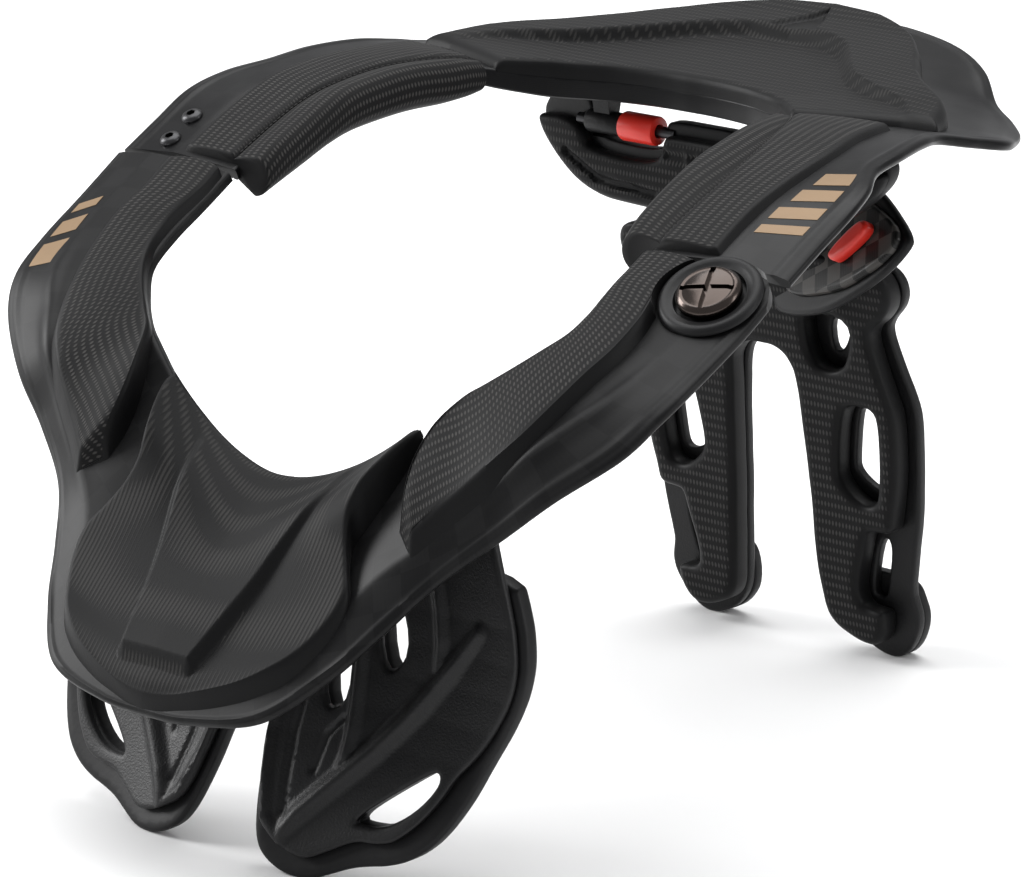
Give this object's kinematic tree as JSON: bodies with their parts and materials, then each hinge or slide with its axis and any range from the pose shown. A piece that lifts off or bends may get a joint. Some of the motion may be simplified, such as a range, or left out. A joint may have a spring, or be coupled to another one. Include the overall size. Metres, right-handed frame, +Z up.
{
  "type": "neck brace",
  "caption": "Neck brace with a hinged front half, padded ring, ribbed chest plates and a padded two-legged back strut on a tilt hinge.",
  "frame": {"origin": "middle of the bounding box on the ground, under the ring", "axes": "+Z up, -Y to the wearer's front, +X to the wearer's left; the brace stands on its two chest plates and its two back legs"},
  "size_m": [0.27, 0.3457, 0.2146],
  "materials": {
    "shell_satin": "satin black moulded shell",
    "shell_gloss": "glossy black carbon laminate",
    "pad": "charcoal embossed weave over foam",
    "plastic": "fine grained satin black",
    "rubber": "black rubber and foam rim",
    "red": "red adjusters",
    "bronze": "dark bronze chrome",
    "steel": "black screws"
  },
  "bodies": {
    "rear": {"rear_frame": "shell_gloss", "rear_arm_pad_left": "pad", "rear_arm_pad_right": "pad", "rear_table_pad": "pad", "hinge_screw": "bronze", "hinge_ring": "rubber", "shell_bolt_1": "steel", "shell_bolt_2": "steel", "pin_barrel_left": "plastic", "pin_barrel_right": "plastic"},
    "front": {"front_frame": "shell_satin", "front_arm_pad_left": "pad", "front_arm_pad_right": "pad", "chin_pad": "pad", "chest_plate_left": "plastic", "chest_plate_right": "plastic", "chest_rim_left": "rubber", "chest_rim_right": "rubber"},
    "back_support": {"saddle_pad": "pad", "saddle_shell": "plastic", "strut_plate": "plastic", "strut_pad": "pad", "side_bracket": "plastic", "bracket_face": "shell_gloss", "tilt_collar_left": "red", "tilt_collar_right": "red", "tilt_pin_left": "steel", "tilt_pin_right": "steel"},
    "lever": {"release_lever": "red"}
  },
  "joints": [
    {"name": "front_hinge", "type": "hinge", "parent": "rear", "child": "front", "pos_m": [0.118, -0.0551, 0.1742], "axis": [0.09, -0.5301, 0.8431], "range_deg": [0, 60]},
    {"name": "back_tilt", "type": "hinge", "parent": "rear", "child": "back_support", "pos_m": [0, 0.0897, 0.18], "axis": [1, 0, 0], "range_deg": [-4, 6]},
    {"name": "lever_slide", "type": "slide", "parent": "back_support", "child": "lever", "axis": [0.7207, 0.0433, 0.6919], "range_m": [0, 0.002]}
  ]
}
